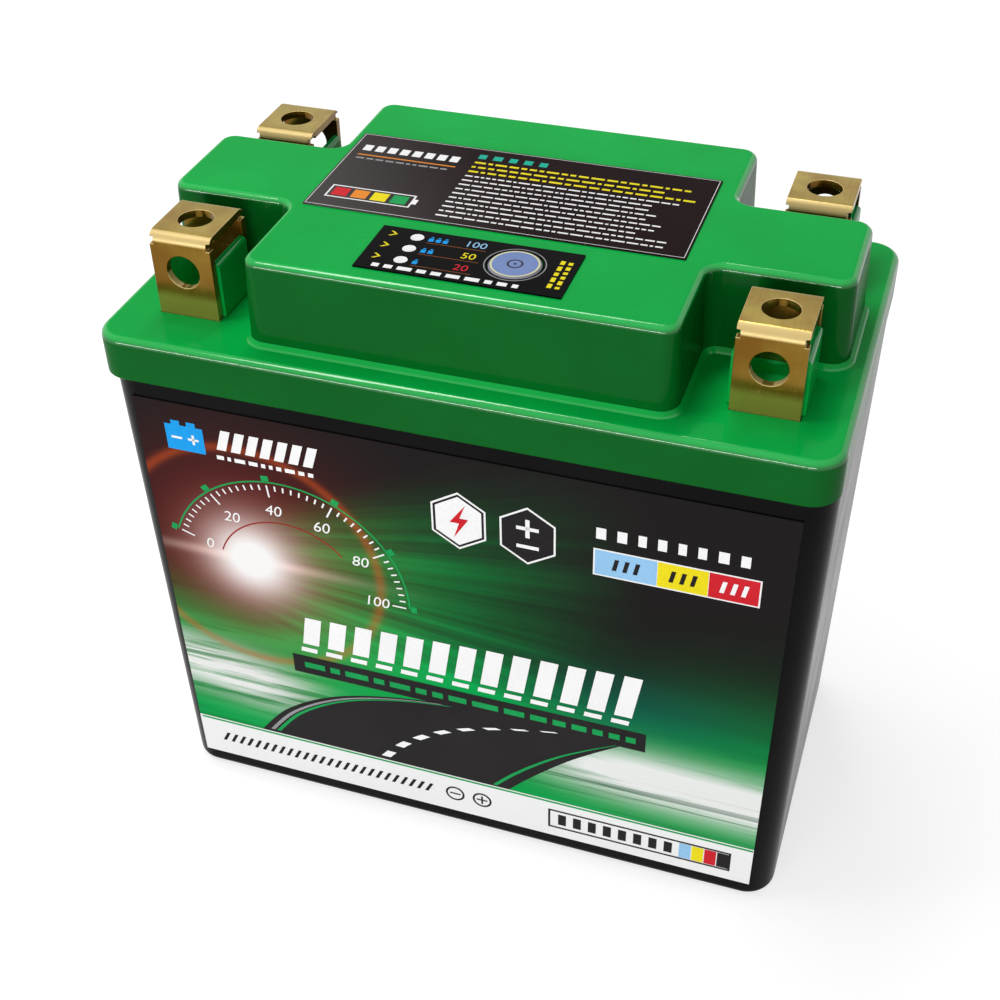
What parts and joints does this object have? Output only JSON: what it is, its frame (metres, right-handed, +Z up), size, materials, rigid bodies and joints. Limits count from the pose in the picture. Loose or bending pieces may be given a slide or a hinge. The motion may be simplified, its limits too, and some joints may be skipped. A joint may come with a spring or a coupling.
{
  "type": "motorcycle battery",
  "caption": "Upright black-cased motorcycle battery with a stepped green cover, folded brass terminals at the corners, a charge display with a press button, and its cells and boards inside.",
  "frame": {"origin": "centre of the underside of the case", "axes": "+X towards the right-hand terminals along the length, +Y from the labelled front towards the back, +Z up"},
  "size_m": [0.134, 0.075, 0.1305],
  "materials": {
    "case_plastic": "fine matt moulded black",
    "seal": "soft black",
    "cover_plastic": "glossy green, moulded",
    "terminal_brass": "bright brass strip, folded",
    "front_label": "glossy film, dark with green sweeps and a white foot",
    "top_label": "glossy dark film",
    "overlay_film": "glossy black film",
    "button_plastic": "satin blue",
    "lamp_lens": "milky",
    "circuit_board": "green varnish",
    "board_parts": "black mouldings",
    "switch_plastic": "matt black",
    "bar_copper": "plain strip",
    "tray_plastic": "matt dark grey",
    "cell_can": "drawn can, satin",
    "separator_card": "plain card",
    "foam": "soft grey foam",
    "lead_cover": "smooth red cover"
  },
  "bodies": {
    "battery": {"case": "case_plastic", "cover_seal": "seal", "cover": "cover_plastic", "terminal_front_right": "terminal_brass", "terminal_front_left": "terminal_brass", "terminal_rear_right": "terminal_brass", "terminal_rear_left": "terminal_brass", "front_label": "front_label", "top_label": "top_label", "indicator_overlay": "overlay_film", "led_full": "lamp_lens", "led_medium": "lamp_lens", "led_low": "lamp_lens", "indicator_board": "circuit_board", "indicator_parts": "board_parts", "switch_body": "switch_plastic", "positive_bar": "bar_copper", "negative_bar": "bar_copper", "positive_strap": "bar_copper", "negative_strap": "bar_copper", "cell_tray": "tray_plastic", "cell_1": "cell_can", "cell_2": "cell_can", "cell_3": "cell_can", "cell_4": "cell_can", "cell_separators": "separator_card", "foam_left": "foam", "foam_right": "foam", "cell_clamp": "tray_plastic", "cell_link_1": "bar_copper", "cell_link_2": "bar_copper", "cell_link_3": "bar_copper", "board_pillars": "tray_plastic", "balance_board": "circuit_board", "balance_parts": "board_parts", "indicator_lead": "lead_cover"},
    "button": {"test_button": "button_plastic"}
  },
  "joints": [
    {"name": "test_button_press", "type": "slide", "parent": "battery", "child": "button", "axis": [0, 0, -1], "range_m": [0, 0.0005], "stiffness_N_per_m": 500, "springref_m": -0.001}
  ]
}
